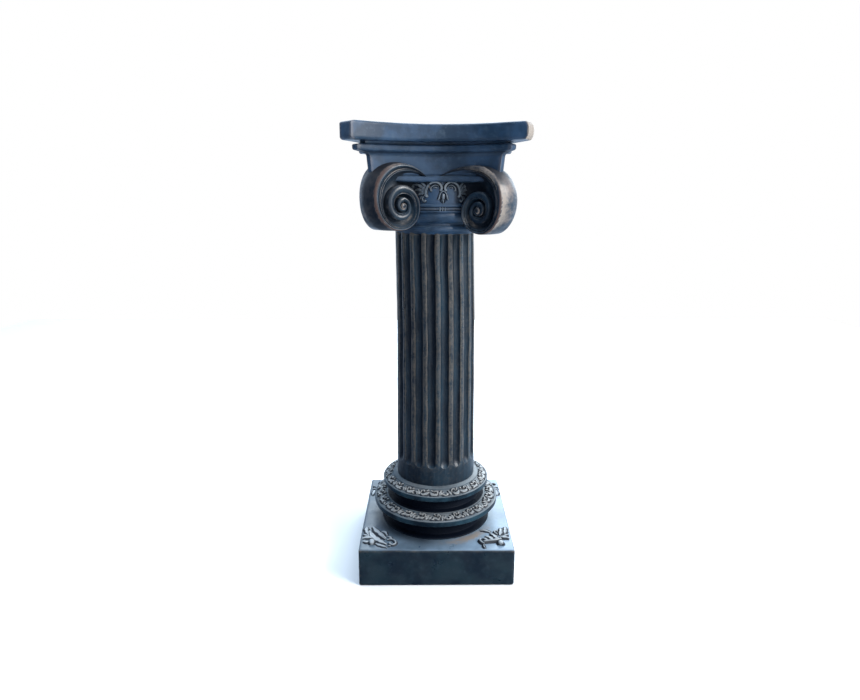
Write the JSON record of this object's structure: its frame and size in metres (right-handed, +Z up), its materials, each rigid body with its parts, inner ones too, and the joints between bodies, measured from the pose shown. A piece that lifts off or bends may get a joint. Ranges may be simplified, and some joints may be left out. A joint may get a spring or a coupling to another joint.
{
  "type": "resin column",
  "caption": "Short Ionic pedestal column in dark bronze-look cast resin: square plinth, ringed base, fluted shaft, scroll-volute capital and hollow-sided abacus that carries a display.",
  "frame": {"origin": "centre of the underside, on the shaft's axis", "axes": "+Z up along the shaft, -Y towards the front, +X to the viewer's right"},
  "size_m": [0.286, 0.286, 0.762],
  "materials": {
    "patinated_resin": "semi-gloss dark bronze patina on cast resin, worn coppery brown on edges, bare pinkish resin at a chip"
  },
  "bodies": {
    "root": {"column": "patinated_resin"}
  },
  "joints": []
}
